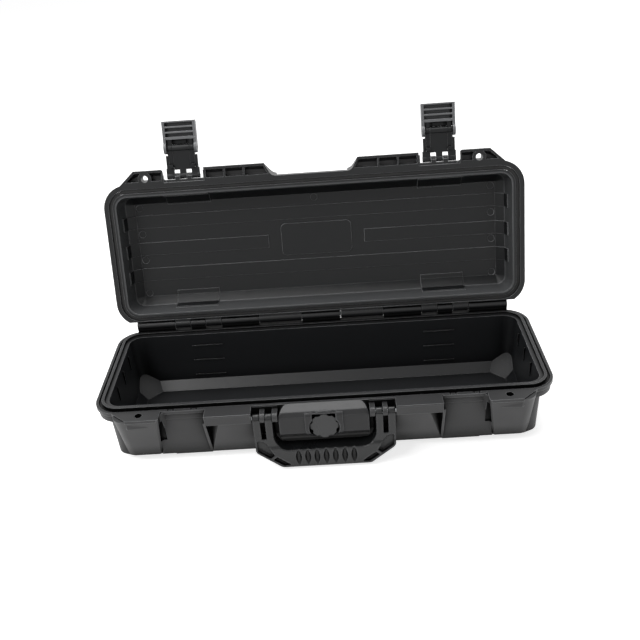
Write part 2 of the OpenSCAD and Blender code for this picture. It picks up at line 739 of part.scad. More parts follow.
module handle_body() {
    difference() {
        union() {
            translate([0, pivot_y + handle_t / 2, 0]) rotate([90, 0, 0])
                linear_extrude(handle_t) handle_outline();
            // the grip bar is thicker, with rounded edges
            intersection() {
                translate([0, pivot_y + 30, 0]) rotate([90, 0, 0]) linear_extrude(60) handle_outline();
                along_x(-handle_l / 2, handle_l / 2)
                    translate([pivot_y, grip_h / 2 - handle_drop]) round_rect(grip_t / 2, grip_h / 2 + 3, 5);
            }
            mirrored() along_x(lug_1[1] + prong_gap, handle_l / 2)
                translate([pivot_y, pivot_z]) circle(prong_r);
        }
        hand_opening();
        handle_hollows();
        // the arms end in prongs that straddle the lugs
        mirrored() along_x(hand_l / 2 - 5, lug_1[1] + prong_gap)
            translate([pivot_y - 10, pivot_z - lug_r - 1.5]) square([20, 20]);
        mirrored() along_x(lug_2[0] - prong_gap, lug_2[1] + prong_gap)
            translate([pivot_y - 10, -34.6]) square([20, 40]);
        mirrored() along_x(30, handle_l / 2 + 5) difference() {
            translate([pivot_y - 10, pivot_z]) square([20, 20]);
            translate([pivot_y, pivot_z]) circle(prong_r);
        }
        mirrored() along_x(40, handle_l)
            translate([pivot_y, pivot_z]) circle(handle_pin_r + fit_run);
        for (i = [-3:3]) translate([i * 10, pivot_y - grip_t / 2, grip_h / 2 - handle_drop])
            finger_groove();
    }
}

module handle() {
    color([0.14, 0.14, 0.15]) at_rim() handle_body();
}

// A latch is drawn shut-lid: its length runs along -Y from the lid pin
module latch_place(side) {
    opened() translate([side * latch_x, lid_pin_y, lid_pin_z]) mirror([0, 1, 0]) children();
}

module link_body() {
    near = lug_x - lug_w / 2 - finger_gap;
    far = lug_x + lug_w / 2 + finger_gap;
    finger = [[-latch_w / 2, -far], [-near, near], [far, latch_w / 2]];
    plate_w = latch_w - 2;
    end_w = 2 * (latch_w / 2 - cheek_t - 0.4);
    slot_x = claw_x - claw_w / 2 - claw_gap;
    difference() {
        union() {
            for (f = finger) along_x(f[0], f[1]) {
                circle(3.3);
                translate([0, -2]) square([9, 4]);
            }
            translate([-plate_w / 2, 7.5, -2]) cube([plate_w, 16.5, 4]);
            translate([-end_w / 2, 20, -2]) cube([end_w, link_l - 20, 4]);
            along_x(-end_w / 2, end_w / 2) translate([link_l, 0]) circle(3.8);
        }
        mirrored() translate([slot_x, 9.6, -5]) cube([claw_w + 2 * claw_gap, link_l - 3.6, 10]);
        mirrored() translate([end_w / 2, link_l - 8.2, -5]) cube([10, 20, 10]);
        along_x(-25, 25) circle(latch_pin_r + fit_run);
        along_x(-25, 25) translate([link_l, 0]) circle(latch_pin_r + fit_fixed);
    }
}

module lever_body() {
    difference() {
        union() {
            mirrored() along_x(latch_w / 2 - cheek_t, latch_w / 2) {
                translate([link_l, 0]) circle(6.6);
                translate([link_l, -3]) square([12, 9.6]);
            }
            translate([-latch_w / 2, link_l + 4.2, 4.6]) cube([latch_w, lever_l - 4.2, 2.4]);
            translate([-latch_w / 2, link_l + 10, -2.4]) cube([latch_w, lever_l - 10, 9.4]);
            // a slotted block behind the grip
            translate([-6.5, link_l + 4.6, 2.8]) cube([13, 5, 3]);
            // claws that grip the catch lip
            mirrored() along_x(claw_x - claw_w / 2, claw_x + claw_w / 2) {
                translate([link_l, 0]) circle(3.6);
                translate([10, -2]) square([link_l - 10, 4]);
                translate([10, -7.2]) square([3.5, 9.2]);
                translate([link_l, -1.2]) square([14, 3.2]);
            }
        }
        translate([-5, link_l + 6.2, 3]) cube([10, 1.8, 10]);
        // three pockets in the grip's inner side
        for (i = [0:2]) translate([-16.5, link_l + 13 + i * 6.1, -4]) cube([33, 4.3, 8]);
        along_x(-25, 25) translate([link_l, 0]) circle(latch_pin_r + fit_run);
        translate([-latch_w, link_l + lever_l - 3, 4.5]) rotate([-30, 0, 0]) translate([0, 0, 1.5])
            cube([2 * latch_w, 10, 10]);
    }
}

module latch_link(side) {
    color([0.13, 0.13, 0.14]) latch_place(side) link_body();
}

module latch_lever(side) {
    color([0.2, 0.2, 0.21]) latch_place(side) lever_body();
}

module latch_lid_pin(side) {
    color([0.7, 0.71, 0.73]) latch_place(side)
        along_x(-latch_w / 2 + 0.5, latch_w / 2 - 0.5) circle(latch_pin_r);
}

module latch_lever_pin(side) {
    color([0.7, 0.71, 0.73]) latch_place(side)
        along_x(-latch_w / 2 + 0.5, latch_w / 2 - 0.5) translate([link_l, 0]) circle(latch_pin_r);
}

// Turns a piece drawn along +Z so that it points out of the front wall
module at_valve(depth) {
    at_rim() translate([0, depth, -valve_drop]) rotate([90, 0, 0]) children();
}

module valve_body() {
    color([0.1, 0.1, 0.11]) at_valve(recess_y - 1.9) difference() {
        union() {
            cylinder(h = 3, r = 12);
            translate([0, 0, recess_y - boss_y - 10])
                cylinder(h = boss_y - recess_y + 11, r = spigot_r);
        }
        translate([0, 0, -40]) cylinder(h = 60, r = 3 + fit_run);
    }
}

module valve_oring() {
    color([0.05, 0.05, 0.05]) at_valve(recess_y - 0.95)
        rotate_extrude() translate([spigot_r + 1.2, 0]) circle(0.9, $fn = 24);
}

module valve_nut() {
    color([0.1, 0.1, 0.11]) at_valve(boss_y + 5.1) difference() {
        cylinder(h = 5, r = 13.5, $fn = 6);
        translate([0, 0, -1]) cylinder(h = 7, r = spigot_r + fit_fixed);
    }
}

module valve_knob() {
    notches = 8;
    color([0.1, 0.1, 0.11]) at_valve(recess_y - 5.2) {
        difference() {
            cylinder(h = 6.5, r = knob_r);
            for (i = [0:notches - 1]) rotate([0, 0, (i + 0.5) * 360 / notches])
                translate([knob_r + 2, 0, -1]) cylinder(h = 9, r = 3.6);
        }
        translate([0, 0, -12]) cylinder(h = 14, r = 3);
    }
}

base_shell();
lid_shell();
seal();
hinge_pin(-1);  // hinge_pin_left
hinge_pin(1);  // hinge_pin_right
handle();
handle_pin(-1);  // handle_pin_left
handle_pin(1);  // handle_pin_right
latch_link(-1);  // latch_link_left
latch_link(1);  // latch_link_right
latch_lever(-1);  // latch_lever_left
latch_lever(1);  // latch_lever_right
latch_lid_pin(-1);  // latch_lid_pin_left
latch_lid_pin(1);  // latch_lid_pin_right
latch_lever_pin(-1);  // latch_lever_pin_left
latch_lever_pin(1);  // latch_lever_pin_right
valve_body();
valve_oring();
valve_nut();
valve_knob();
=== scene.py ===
import json
import math

import bpy
from mathutils import Matrix, Vector


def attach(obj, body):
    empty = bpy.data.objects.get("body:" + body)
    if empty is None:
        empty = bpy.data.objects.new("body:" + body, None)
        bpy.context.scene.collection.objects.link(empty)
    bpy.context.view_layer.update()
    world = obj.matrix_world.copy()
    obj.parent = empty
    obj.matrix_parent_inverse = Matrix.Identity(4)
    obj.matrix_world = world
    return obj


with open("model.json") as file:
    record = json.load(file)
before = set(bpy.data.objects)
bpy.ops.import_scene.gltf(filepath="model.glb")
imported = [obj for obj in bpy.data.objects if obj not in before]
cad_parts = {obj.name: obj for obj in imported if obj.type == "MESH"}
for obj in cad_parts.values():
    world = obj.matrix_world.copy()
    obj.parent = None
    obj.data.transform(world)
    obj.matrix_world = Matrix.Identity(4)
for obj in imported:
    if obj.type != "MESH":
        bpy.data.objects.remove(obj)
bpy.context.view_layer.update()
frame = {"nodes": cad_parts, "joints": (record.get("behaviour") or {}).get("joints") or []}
scene = bpy.context.scene
bothSides = ((-1, "left"), (1, "right"))
print("stage 1: frame loaded,", len(frame["nodes"]), "nodes")


def toLinear(hexColour):
    # '#rrggbb' in sRGB to the linear colour that Blender's sockets take
    parts = [int(hexColour[i:i + 2], 16) / 255 for i in (1, 3, 5)]
    return tuple(c / 12.92 if c <= 0.04045 else ((c + 0.055) / 1.055) ** 2.4 for c in parts) + (1.0,)


def addNode(tree, kind, settings=None, links=None):
    # settings are the node's own options or its sockets' values, links are {socket: output}
    node = tree.nodes.new(kind)
    for name, value in (settings or {}).items():
        if isinstance(name, int) or name in node.inputs:
            node.inputs[name].default_value = value
        else:
            setattr(node, name, value)
    for name, output in (links or {}).items():
        tree.links.new(output, node.inputs[name])
    return node


def emptyTree(name):
    material = bpy.data.materials.new(name)
    material.use_nodes = True
    material.node_tree.nodes.clear()
    return material, material.node_tree


def perMillimetre(size):
    # texture scale for a pattern that repeats about every size mm, on coordinates in metres
    return 1000.0 / size


def mixValue(tree, factor, first, second=0.0):
    # first or second may be a number or another node's output; no factor gives first alone
    given, joined = {"data_type": "FLOAT", 0: 0.0}, {}
    for socket, value in ((0, factor), (2, first), (3, second)):
        if isinstance(value, float):
            given[socket] = value
        elif value is not None:
            joined[socket] = value
    return addNode(tree, "ShaderNodeMix", given, joined).outputs[0]


def mixColour(tree, factor, first, second):
    # the same for colours, as sRGB hex or another node's output
    given, joined = {"data_type": "RGBA", 0: 0.0}, {}
    for socket, value in ((6, first), (7, second)):
        if isinstance(value, str):
            given[socket] = toLinear(value)
        else:
            joined[socket] = value
    if factor is not None:
        joined[0] = factor
    return addNode(tree, "ShaderNodeMix", given, joined).outputs[2]


def insideMask(tree, point, lining):
    # Two masks: all of a shell's inner faces, and its inner walls alone. Z counts up from the
    # shell's outer floor. The border runs through the middle of the wall: rounded corners, draft
    # and chamfer.
    corner = addNode(tree, "ShaderNodeVectorMath", {"operation": "ABSOLUTE"}, {0: point})
    beyond = addNode(tree, "ShaderNodeVectorMath",
                     {"operation": "SUBTRACT", 1: lining["corner"] + (0.0,)}, {0: corner.outputs[0]})
    outward = addNode(tree, "ShaderNodeVectorMath", {"operation": "MAXIMUM", 1: (0.0, 0.0, 0.0)},
                      {0: beyond.outputs[0]})
    flat = addNode(tree, "ShaderNodeVectorMath", {"operation": "MULTIPLY", 1: (1.0, 1.0, 0.0)},
                   {0: outward.outputs[0]})
    reach = addNode(tree, "ShaderNodeVectorMath", {"operation": "LENGTH"}, {0: flat.outputs[0]})
    height = addNode(tree, "ShaderNodeSeparateXYZ", links={"Vector": point}).outputs["Z"]
    wall = addNode(tree, "ShaderNodeMath",
                   {"operation": "MULTIPLY_ADD", 1: lining["wallSlope"], 2: lining["wallRadius"]},
                   {0: height})
    foot = addNode(tree, "ShaderNodeMath", {"operation": "ADD", 1: lining["footRadius"]}, {0: height})
    border = addNode(tree, "ShaderNodeMath", {"operation": "MINIMUM"},
                     {0: wall.outputs[0], 1: foot.outputs[0]})
    within = addNode(tree, "ShaderNodeMath", {"operation": "LESS_THAN"},
                     {0: reach.outputs["Value"], 1: border.outputs[0]})
    floor = addNode(tree, "ShaderNodeMath", {"operation": "GREATER_THAN", 1: lining["floor"]},
                    {0: height})
    inner = addNode(tree, "ShaderNodeMath", {"operation": "MULTIPLY"},
                    {0: within.outputs[0], 1: floor.outputs[0]})
    skin = addNode(tree, "ShaderNodeMath", {"operation": "SUBTRACT", 1: lining["skin"]},
                   {0: border.outputs[0]})
    outer = addNode(tree, "ShaderNodeMath", {"operation": "GREATER_THAN"},
                    {0: reach.outputs["Value"], 1: skin.outputs[0]})
    wallOnly = addNode(tree, "ShaderNodeMath", {"operation": "MULTIPLY"},
                       {0: inner.outputs[0], 1: outer.outputs[0]})
    return inner.outputs[0], wallOnly.outputs[0]


def boxMask(tree, point, low, high):
    # 1 where the point lies between two corners
    middle = [(a + b) / 2 for a, b in zip(low, high)]
    half = [(b - a) / 2 for a, b in zip(low, high)]
    offset = addNode(tree, "ShaderNodeVectorMath", {"operation": "SUBTRACT", 1: middle}, {0: point})
    distance = addNode(tree, "ShaderNodeVectorMath", {"operation": "ABSOLUTE"}, {0: offset.outputs[0]})
    beyond = addNode(tree, "ShaderNodeVectorMath", {"operation": "SUBTRACT", 1: half},
                     {0: distance.outputs[0]})
    axes = addNode(tree, "ShaderNodeSeparateXYZ", links={"Vector": beyond.outputs[0]})
    flat = addNode(tree, "ShaderNodeMath", {"operation": "MAXIMUM"},
                   {0: axes.outputs["X"], 1: axes.outputs["Y"]})
    furthest = addNode(tree, "ShaderNodeMath", {"operation": "MAXIMUM"},
                       {0: flat.outputs[0], 1: axes.outputs["Z"]})
    return addNode(tree, "ShaderNodeMath", {"operation": "LESS_THAN", 1: 0.0}, {0: furthest.outputs[0]})


# What every moulded piece shares: the part of the cloud noise in use, how far it moves the
# roughness, the grain left on a lining, how far a bent normal counts as an edge with a painted
# highlight and how patchy that highlight is, and the colour and gloss of the painted shade in narrow gaps
mould = {"cloudLow": 0.3, "cloudHigh": 0.7, "smoother": 0.04, "rougher": 0.05, "liningGrain": 0.3,
         "edgeFacingStart": 0.995, "edgeFacingFull": 0.8, "leastEdgeHighlight": 0.5, "paintedShadeColour": "#060606",
         "paintedShadeGloss": 0.2, "samples": 8}


def mouldedPlastic(name, look):
    # Injection-moulded plastic out of a spark-eroded mould: a fine dull grain, edges a little
    # rounded and smoother with a patchy painted highlight, and slow cloudy changes of gloss where the melt
    # flowed.
    # In look, grain, cloud, edge and crevice are sizes in mm. The painted shade in gaps is full where
    # a point is as closed in as shut says, and ends where it is as free as open says.
    material, tree = emptyTree(name)
    place = addNode(tree, "ShaderNodeTexCoord")
    point = place.outputs["Object"]
    grain = addNode(tree, "ShaderNodeTexNoise",
                    {"Scale": perMillimetre(look["grain"]), "Detail": 3.0, "Roughness": 0.6},
                    {"Vector": point})
    cloud = addNode(tree, "ShaderNodeTexNoise",
                    {"Scale": perMillimetre(look["cloud"]), "Detail": 2.0, "Distortion": 0.6},
                    {"Vector": point})
    base = mixColour(tree, cloud.outputs[0], look["colour"], look["cloudColour"])
    roughness = addNode(tree, "ShaderNodeMapRange",
                        {"From Min": mould["cloudLow"], "From Max": mould["cloudHigh"],
                         "To Min": look["rough"] - mould["smoother"],
                         "To Max": look["rough"] + mould["rougher"]},
                        {"Value": cloud.outputs[0]}).outputs[0]
    edge = mixValue(tree, None, look["edge"] / 1000)
    depth = mixValue(tree, None, look["grainDepth"])
    gloss = mixValue(tree, None, look["gloss"])
    edgeHighlightColour = mixColour(tree, None, look["edgeHighlightColour"], look["edgeHighlightColour"])

    # painted shade: a face toned darker and duller than the rest, its edges rounded wider
    if "softZone" in look:
        soft = boxMask(tree, point, *look["softZone"])
        edge = mixValue(tree, soft.outputs[0], edge, look["softEdge"] / 1000)
        gloss = mixValue(tree, soft.outputs[0], gloss, look["softShadeGloss"])
        base = mixColour(tree, soft.outputs[0], base, look["softShadeColour"])
    # a part toned darker and duller to match the photograph, its corners given for the shut lid
    if "darkZone" in look:
        shutPoint = addNode(tree, "ShaderNodeMapping", shutting, {"Vector": point}).outputs[0]
        dark = boxMask(tree, shutPoint, *look["darkZone"]).outputs[0]
        base = mixColour(tree, dark, base, look["darkColour"])
        edgeHighlightColour = mixColour(tree, dark, edgeHighlightColour, look["darkEdgeHighlight"])
        gloss = mixValue(tree, dark, gloss, look["darkGloss"])
    # the inner faces and part of the rim get painted shade and a smoother finish; the inner walls painted
    # light
    if "lining" in look:
        lining = look["lining"]
        seenFrom = point
        if "shutting" in lining:
            seenFrom = addNode(tree, "ShaderNodeMapping", lining["shutting"], {"Vector": point}).outputs[0]
        inner, wallOnly = insideMask(tree, seenFrom, lining)
        height = addNode(tree, "ShaderNodeSeparateXYZ", links={"Vector": seenFrom}).outputs["Z"]
        rim = addNode(tree, "ShaderNodeMath", {"operation": "GREATER_THAN", 1: lining["rim"]},
                      {0: height})
        rimPart = addNode(tree, "ShaderNodeMath", {"operation": "MULTIPLY", 1: lining["rimPart"]},
                          {0: rim.outputs[0]})
        mask = addNode(tree, "ShaderNodeMath", {"operation": "MAXIMUM"},
                       {0: inner, 1: rimPart.outputs[0]}).outputs[0]
        base = mixColour(tree, mask, base, look["insideShadeColour"])
        base = mixColour(tree, wallOnly, base, look["wallLightColour"])
        roughness = mixValue(tree, mask, roughness, look["insideRough"])
        depth = mixValue(tree, mask, depth, look["grainDepth"] * mould["liningGrain"])
        gloss = mixValue(tree, mask, gloss, look["insideGloss"])
        edge = mixValue(tree, mask, edge, look["insideEdge"] / 1000)
        edgeHighlightColour = mixColour(tree, mask, edgeHighlightColour, look["insideEdgeHighlightColour"])

    rounded = addNode(tree, "ShaderNodeBevel", {"samples": mould["samples"]}, {"Radius": edge})
    geometry = addNode(tree, "ShaderNodeNewGeometry")
    facing = addNode(tree, "ShaderNodeVectorMath", {"operation": "DOT_PRODUCT"},
                     {0: rounded.outputs[0], 1: geometry.outputs["True Normal"]})
    # painted highlight: where the bevel bends the normal, the colour goes towards the edge highlight
    # colour, patchy along the edges; the roughness there goes to edgeRough
    bentEdge = addNode(tree, "ShaderNodeMapRange",
                     {"From Min": mould["edgeFacingStart"], "From Max": mould["edgeFacingFull"],
                      "To Min": 0.0, "To Max": 1.0}, {"Value": facing.outputs["Value"]}).outputs[0]
    patchy = addNode(tree, "ShaderNodeMapRange",
                     {"From Min": mould["cloudLow"], "From Max": mould["cloudHigh"],
                      "To Min": mould["leastEdgeHighlight"], "To Max": 1.0}, {"Value": cloud.outputs[0]})
    paintedEdgeHighlight = addNode(tree, "ShaderNodeMath", {"operation": "MULTIPLY"},
                   {0: bentEdge, 1: patchy.outputs[0]}).outputs[0]
    base = mixColour(tree, paintedEdgeHighlight, base, edgeHighlightColour)
    roughness = mixValue(tree, bentEdge, roughness, look["edgeRough"])

    # painted shade: narrow gaps and pockets are darkened, and lose gloss, beyond what the lamps do
    distance = mixValue(tree, None, look["crevice"] / 1000)
    if "hingeZone" in look:
        hingeMask = boxMask(tree, point, *look["hingeZone"])
        distance = mixValue(tree, hingeMask.outputs[0], distance, look["hingeCrevice"] / 1000)
    crevice = addNode(tree, "ShaderNodeAmbientOcclusion", {"samples": mould["samples"]},
                      {"Distance": distance})
    openness = addNode(tree, "ShaderNodeMapRange", {"From Min": look["shut"], "From Max": look["open"]},
                       {"Value": crevice.outputs["AO"]}).outputs[0]
    base = mixColour(tree, openness, mould["paintedShadeColour"], base)
    dim = addNode(tree, "ShaderNodeMath", {"operation": "MULTIPLY", 1: mould["paintedShadeGloss"]},
                  {0: gloss}).outputs[0]
    gloss = mixValue(tree, openness, dim, gloss)

    bump = addNode(tree, "ShaderNodeBump", {"Distance": look["grain"] / 4000},  # a quarter grain, in m
                   {"Strength": depth, "Height": grain.outputs[0], "Normal": rounded.outputs[0]})
    shader = addNode(tree, "ShaderNodeBsdfPrincipled", {"IOR": look["ior"]},
                     {"Base Color": base, "Roughness": roughness, "Normal": bump.outputs[0],
                      "Specular IOR Level": gloss})
    addNode(tree, "ShaderNodeOutputMaterial", links={"Surface": shader.outputs[0]})
    return material


def dress(material, *nodeNames):
    for nodeName in nodeNames:
        for slot in frame["nodes"][nodeName].material_slots:
            slot.material = material


# The camera's own numbers, fitted to the photograph
cameraView = {"place": (0.02792, -0.81879, 0.60009), "target": (0.0009, 0.0, 0.12825), "roll": -4.48,
              "lens": 47.41, "sensor": 36.0}

camera = bpy.data.cameras.new("camera")
camera.lens = cameraView["lens"]
camera.sensor_width = cameraView["sensor"]
cameraObject = bpy.data.objects.new("camera", camera)
scene.collection.objects.link(cameraObject)
sight = Vector(cameraView["target"]) - Vector(cameraView["place"])
aim = sight.to_track_quat("-Z", "Y").to_matrix().to_4x4()
turn = Matrix.Rotation(math.radians(cameraView["roll"]), 4, "Z")
cameraObject.matrix_world = Matrix.Translation(cameraView["place"]) @ aim @ turn
scene.camera = cameraObject
print("stage 2: camera")

# Tub: polypropylene filled with glass, moulded; a charcoal that looks grey on its grained outside; its
# smooth inside gets painted shade to near black, its inner walls a little painted light. Real grain is
# about 0.15 mm, drawn at 0.9 mm so that it shows.
# The soft zone is the valve housing's front, darkened by painted shade. In the hinge zone, along the back
# of the rim, the painted shade of gaps reaches less far.
tubLook = {"colour": "#1f1f20", "cloudColour": "#242425", "rough": 0.5, "grain": 0.9, "grainDepth": 0.45,
           "cloud": 60, "edge": 1.1, "edgeHighlightColour": "#606163", "edgeRough": 0.34, "ior": 1.49, "gloss": 0.5,
           "insideShadeColour": "#111214", "insideRough": 0.36, "insideGloss": 0.5, "insideEdge": 0.5,
           "insideEdgeHighlightColour": "#b4b5b7", "wallLightColour": "#1b1c1e",
           "crevice": 30, "shut": 0.55, "open": 0.97,
           "softZone": ((-0.0486, -0.104, 0.008), (0.0486, -0.08, 0.08)), "softEdge": 3.0,
           "softShadeGloss": 0.36, "softShadeColour": "#19191a",
           "hingeZone": ((-0.2285, 0.0836, 0.0765), (0.2285, 0.1, 0.1)), "hingeCrevice": 4,
           "lining": {"corner": (0.221, 0.0578), "wallSlope": 0.0502, "wallRadius": 0.01165,
                      "footRadius": -0.00085, "skin": 0.0028, "floor": 0.003, "rim": 0.0735,
                      "rimPart": 0.6}}
tubPlastic = mouldedPlastic("polypropyleneMouldedTub", tubLook)
dress(tubPlastic, "base_shell")

# The lid's lining is given for the shut lid, turned over: Z counts down from the lid's top
hinge = next(joint for joint in frame["joints"] if joint["name"] == "lid_hinge")
shutAngle = math.radians(hinge["range_deg"][1])
lidTop = 0.119
upsideDown = Matrix.Rotation(-shutAngle, 3, "X") @ Matrix.Diagonal((1.0, 1.0, -1.0))
hingePlace = Vector(hinge["pos_m"])
lidOffset = Vector((hingePlace.x, hingePlace.y, lidTop - hingePlace.z)) - upsideDown @ hingePlace
shutting = {"Scale": (1.0, 1.0, -1.0), "Rotation": (-shutAngle, 0.0, 0.0), "Location": tuple(lidOffset)}

# Lid: the same plastic. Its lining reflects less than the tub's and gets a darker painted shade, and its
# inner walls get painted light, toned lighter than its ceiling.
lidLook = {"colour": "#232324", "cloudColour": "#282829", "rough": 0.46, "grain": 0.9, "grainDepth": 0.4,
           "cloud": 60, "edge": 1.1, "edgeHighlightColour": "#606163", "edgeRough": 0.34, "ior": 1.49, "gloss": 0.5,
           "insideShadeColour": "#18191a", "insideRough": 0.34, "insideGloss": 0.29, "insideEdge": 0.6,
           "insideEdgeHighlightColour": "#b0b1b3", "wallLightColour": "#4a4b4c",
           "crevice": 4, "shut": 0.15, "open": 0.5,
           "lining": {"corner": (0.221, 0.0578), "wallSlope": 0.1167, "wallRadius": 0.01091,
                      "footRadius": 0.00075, "skin": 0.0028, "floor": 0.0024, "rim": 0.037,
                      "rimPart": 0.8, "shutting": shutting}}
lidPlastic = mouldedPlastic("polypropyleneMouldedLid", lidLook)
dress(lidPlastic, "lid_shell")

# Handle: nylon, moulded; smoother than the shells. Real grain 0.1 mm, drawn at 0.7 mm so that it
# shows.
handleLook = {"colour": "#0f1011", "cloudColour": "#141516", "rough": 0.28, "grain": 0.7,
              "grainDepth": 0.16, "cloud": 40, "edge": 3.2, "edgeHighlightColour": "#38393b",
              "edgeRough": 0.22, "ior": 1.53, "gloss": 0.38,
              "crevice": 10, "shut": 0.45, "open": 0.97}
handlePlastic = mouldedPlastic("nylonMouldedHandle", handleLook)
dress(handlePlastic, "handle")

# Latch levers: nylon filled with glass, moulded; a satin grey grip, and a middle toned darker and
# duller to match the photograph. The middle's sizes are for the shut lid, Z down from the lid's top.
leverLook = {"colour": "#626365", "cloudColour": "#68696b", "rough": 0.42, "grain": 0.7,
             "grainDepth": 0.3, "cloud": 30, "edge": 0.6, "edgeHighlightColour": "#a4a5a7",
             "edgeRough": 0.3, "ior": 1.53, "gloss": 0.5,
             "darkColour": "#161718", "darkEdgeHighlight": "#343537", "darkGloss": 0.2,
             "crevice": 4, "shut": 0.3, "open": 0.9}
latchPlace = 0.151  # from the middle of the case to the middle of each latch
leverMiddle = {"halfWidth": 0.0164, "front": -0.1348, "back": -0.1, "low": 0.024, "high": 0.044}
for side, word in bothSides:
    middle = ((side * latchPlace - leverMiddle["halfWidth"], leverMiddle["front"], leverMiddle["low"]),
              (side * latchPlace + leverMiddle["halfWidth"], leverMiddle["back"], leverMiddle["high"]))
    lever = mouldedPlastic(f"nylonMouldedLever{word.capitalize()}", dict(leverLook, darkZone=middle))
    dress(lever, f"latch_lever_{word}")

# Latch links: the same nylon, moulded; toned darker than the grips to match the photograph
linkLook = {"colour": "#131415", "cloudColour": "#18191a", "rough": 0.36, "grain": 0.7,
            "grainDepth": 0.2, "cloud": 20, "edge": 0.8, "edgeHighlightColour": "#4c4d4f",
            "edgeRough": 0.26, "ior": 1.53, "gloss": 0.22,
            "crevice": 5, "shut": 0.15, "open": 0.85}
linkPlastic = mouldedPlastic("nylonMouldedLink", linkLook)
dress(linkPlastic, "latch_link_left", "latch_link_right")

# Valve: acetal, moulded; smooth and black with a clear gloss
valveLook = {"colour": "#1b1c1d", "cloudColour": "#212223", "rough": 0.3, "grain": 0.6,
             "grainDepth": 0.12, "cloud": 20, "edge": 0.5, "edgeHighlightColour": "#4a4b4d",
             "edgeRough": 0.22, "ior": 1.48, "gloss": 0.5,
             "crevice": 5, "shut": 0.15, "open": 0.85}
valvePlastic = mouldedPlastic("acetalMouldedValve", valveLook)
dress(valvePlastic, "valve_body", "valve_nut", "valve_knob")

# Seal and O-ring: nitrile rubber, moulded and left dull
rubberLook = {"colour": "#161616", "cloudColour": "#1d1d1d", "rough": 0.68, "grain": 0.6,
              "grainDepth": 0.3, "cloud": 15, "edge": 0.4, "edgeHighlightColour": "#2c2c2c",
              "edgeRough": 0.55, "ior": 1.52, "gloss": 0.5,
              "crevice": 3, "shut": 0.15, "open": 0.8}
rubber = mouldedPlastic("nitrileRubberMoulded", rubberLook)
dress(rubber, "seal", "valve_oring")


def turnedSteel(name, look):
    # Stainless steel, turned: bright, with fine rings round its length that stretch the highlights
    material, tree = emptyTree(name)
    place = addNode(tree, "ShaderNodeTexCoord")
    stretched = addNode(tree, "ShaderNodeMapping", {"Scale": (1.0, look["stretch"], look["stretch"])},
                        {"Vector": place.outputs["Object"]})
    rings = addNode(tree, "ShaderNodeTexNoise", {"Scale": perMillimetre(look["feed"]), "Detail": 2.0},
                    {"Vector": stretched.outputs[0]})
    rough = addNode(tree, "ShaderNodeMapRange",
                    {"To Min": look["rough"] - look["smoother"], "To Max": look["rough"] + look["rougher"]},
                    {"Value": rings.outputs[0]})
    bump = addNode(tree, "ShaderNodeBump",
                   {"Strength": look["ringDepth"], "Distance": look["feed"] / 6000},  # a sixth, in m
                   {"Height": rings.outputs[0]})
    shader = addNode(tree, "ShaderNodeBsdfPrincipled",
                     {"Base Color": toLinear(look["colour"]), "Metallic": 1.0},
                     {"Roughness": rough.outputs[0], "Normal": bump.outputs[0]})
    addNode(tree, "ShaderNodeOutputMaterial", links={"Surface": shader.outputs[0]})
    return material


# Pins: stainless steel, turned. The tool's feed marks are 0.1 mm apart, drawn at 0.4 mm so that
# they show.
pinLook = {"colour": "#b9bbbd", "rough": 0.28, "smoother": 0.06, "rougher": 0.08, "feed": 0.4,
           "stretch": 0.05, "ringDepth": 0.25}
pinSteel = turnedSteel("stainlessSteelTurned", pinLook)
dress(pinSteel, *[name for name in frame["nodes"] if "_pin_" in name])
print("stage 3: materials")

mouldedEdge = {"width": 0.00015, "segments": 2}


def addPiece(name, points, faces, material, body):
    # points in metres where the object rests; edges get a small moulded radius
    mesh = bpy.data.meshes.new(name)
    mesh.from_pydata([tuple(point) for point in points], [], faces)
    mesh.materials.append(material)
    piece = bpy.data.objects.new(name, mesh)
    scene.collection.objects.link(piece)
    softened = piece.modifiers.new("mouldedEdges", "BEVEL")
    softened.width = mouldedEdge["width"]
    softened.segments = mouldedEdge["segments"]
    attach(piece, body)
    return piece


def boxPoints(low, high):
    return [Vector((x, y, z)) for z in (low[2], high[2]) for x, y in
            ((low[0], low[1]), (high[0], low[1]), (high[0], high[1]), (low[0], high[1]))]


boxFaces = [(3, 2, 1, 0), (4, 5, 6, 7), (0, 1, 5, 4), (1, 2, 6, 5), (2, 3, 7, 6), (3, 0, 4, 7)]

# The rim's shelf under the hinge, drawn 1.7 mm further out than the solid one
hingeLine = {"halfLength": 0.2265, "front": 0.0885, "back": 0.0912, "top": 0.0772, "bottom": 0.0753}
shelfPoints = boxPoints((-hingeLine["halfLength"], hingeLine["front"], hingeLine["bottom"]),
                        (hingeLine["halfLength"], hingeLine["back"], hingeLine["top"]))
addPiece("hingeShelf", shelfPoints, boxFaces, tubPlastic, "base")

# Dark collars in the gaps between the hinge's knuckles, as painted shade there; the gaps measured from the
# middle of the case
shadeCollar = {"radius": 0.0052, "bore": 0.0021, "thickness": 0.0005, "sides": 24,
          "gaps": (0.024, 0.0765, 0.1235, 0.143, 0.1615, 0.181)}


def ringPoints(x, radius, count):
    turns = [2 * math.pi * i / count for i in range(count)]
    return [hingePlace + Vector((x, radius * math.cos(a), radius * math.sin(a))) for a in turns]


for side, word in bothSides:
    for number, gap in enumerate(shadeCollar["gaps"]):
        n = shadeCollar["sides"]
        near, far = side * gap - shadeCollar["thickness"] / 2, side * gap + shadeCollar["thickness"] / 2
        points = []
        for x in (near, far):  # four rings: near rim, near bore, far rim, far bore
            points += ringPoints(x, shadeCollar["radius"], n) + ringPoints(x, shadeCollar["bore"], n)
        faces = []
        for i in range(n):
            k = (i + 1) % n
            faces.append((i, k, k + n, i + n))
            faces.append((k + 2 * n, i + 2 * n, i + 3 * n, k + 3 * n))
            faces.append((k, i, i + 2 * n, k + 2 * n))
            faces.append((i + n, k + n, k + 3 * n, i + 3 * n))
        addPiece(f"hingeShadeCollar{word.capitalize()}{number}", points, faces, linkPlastic, "base")
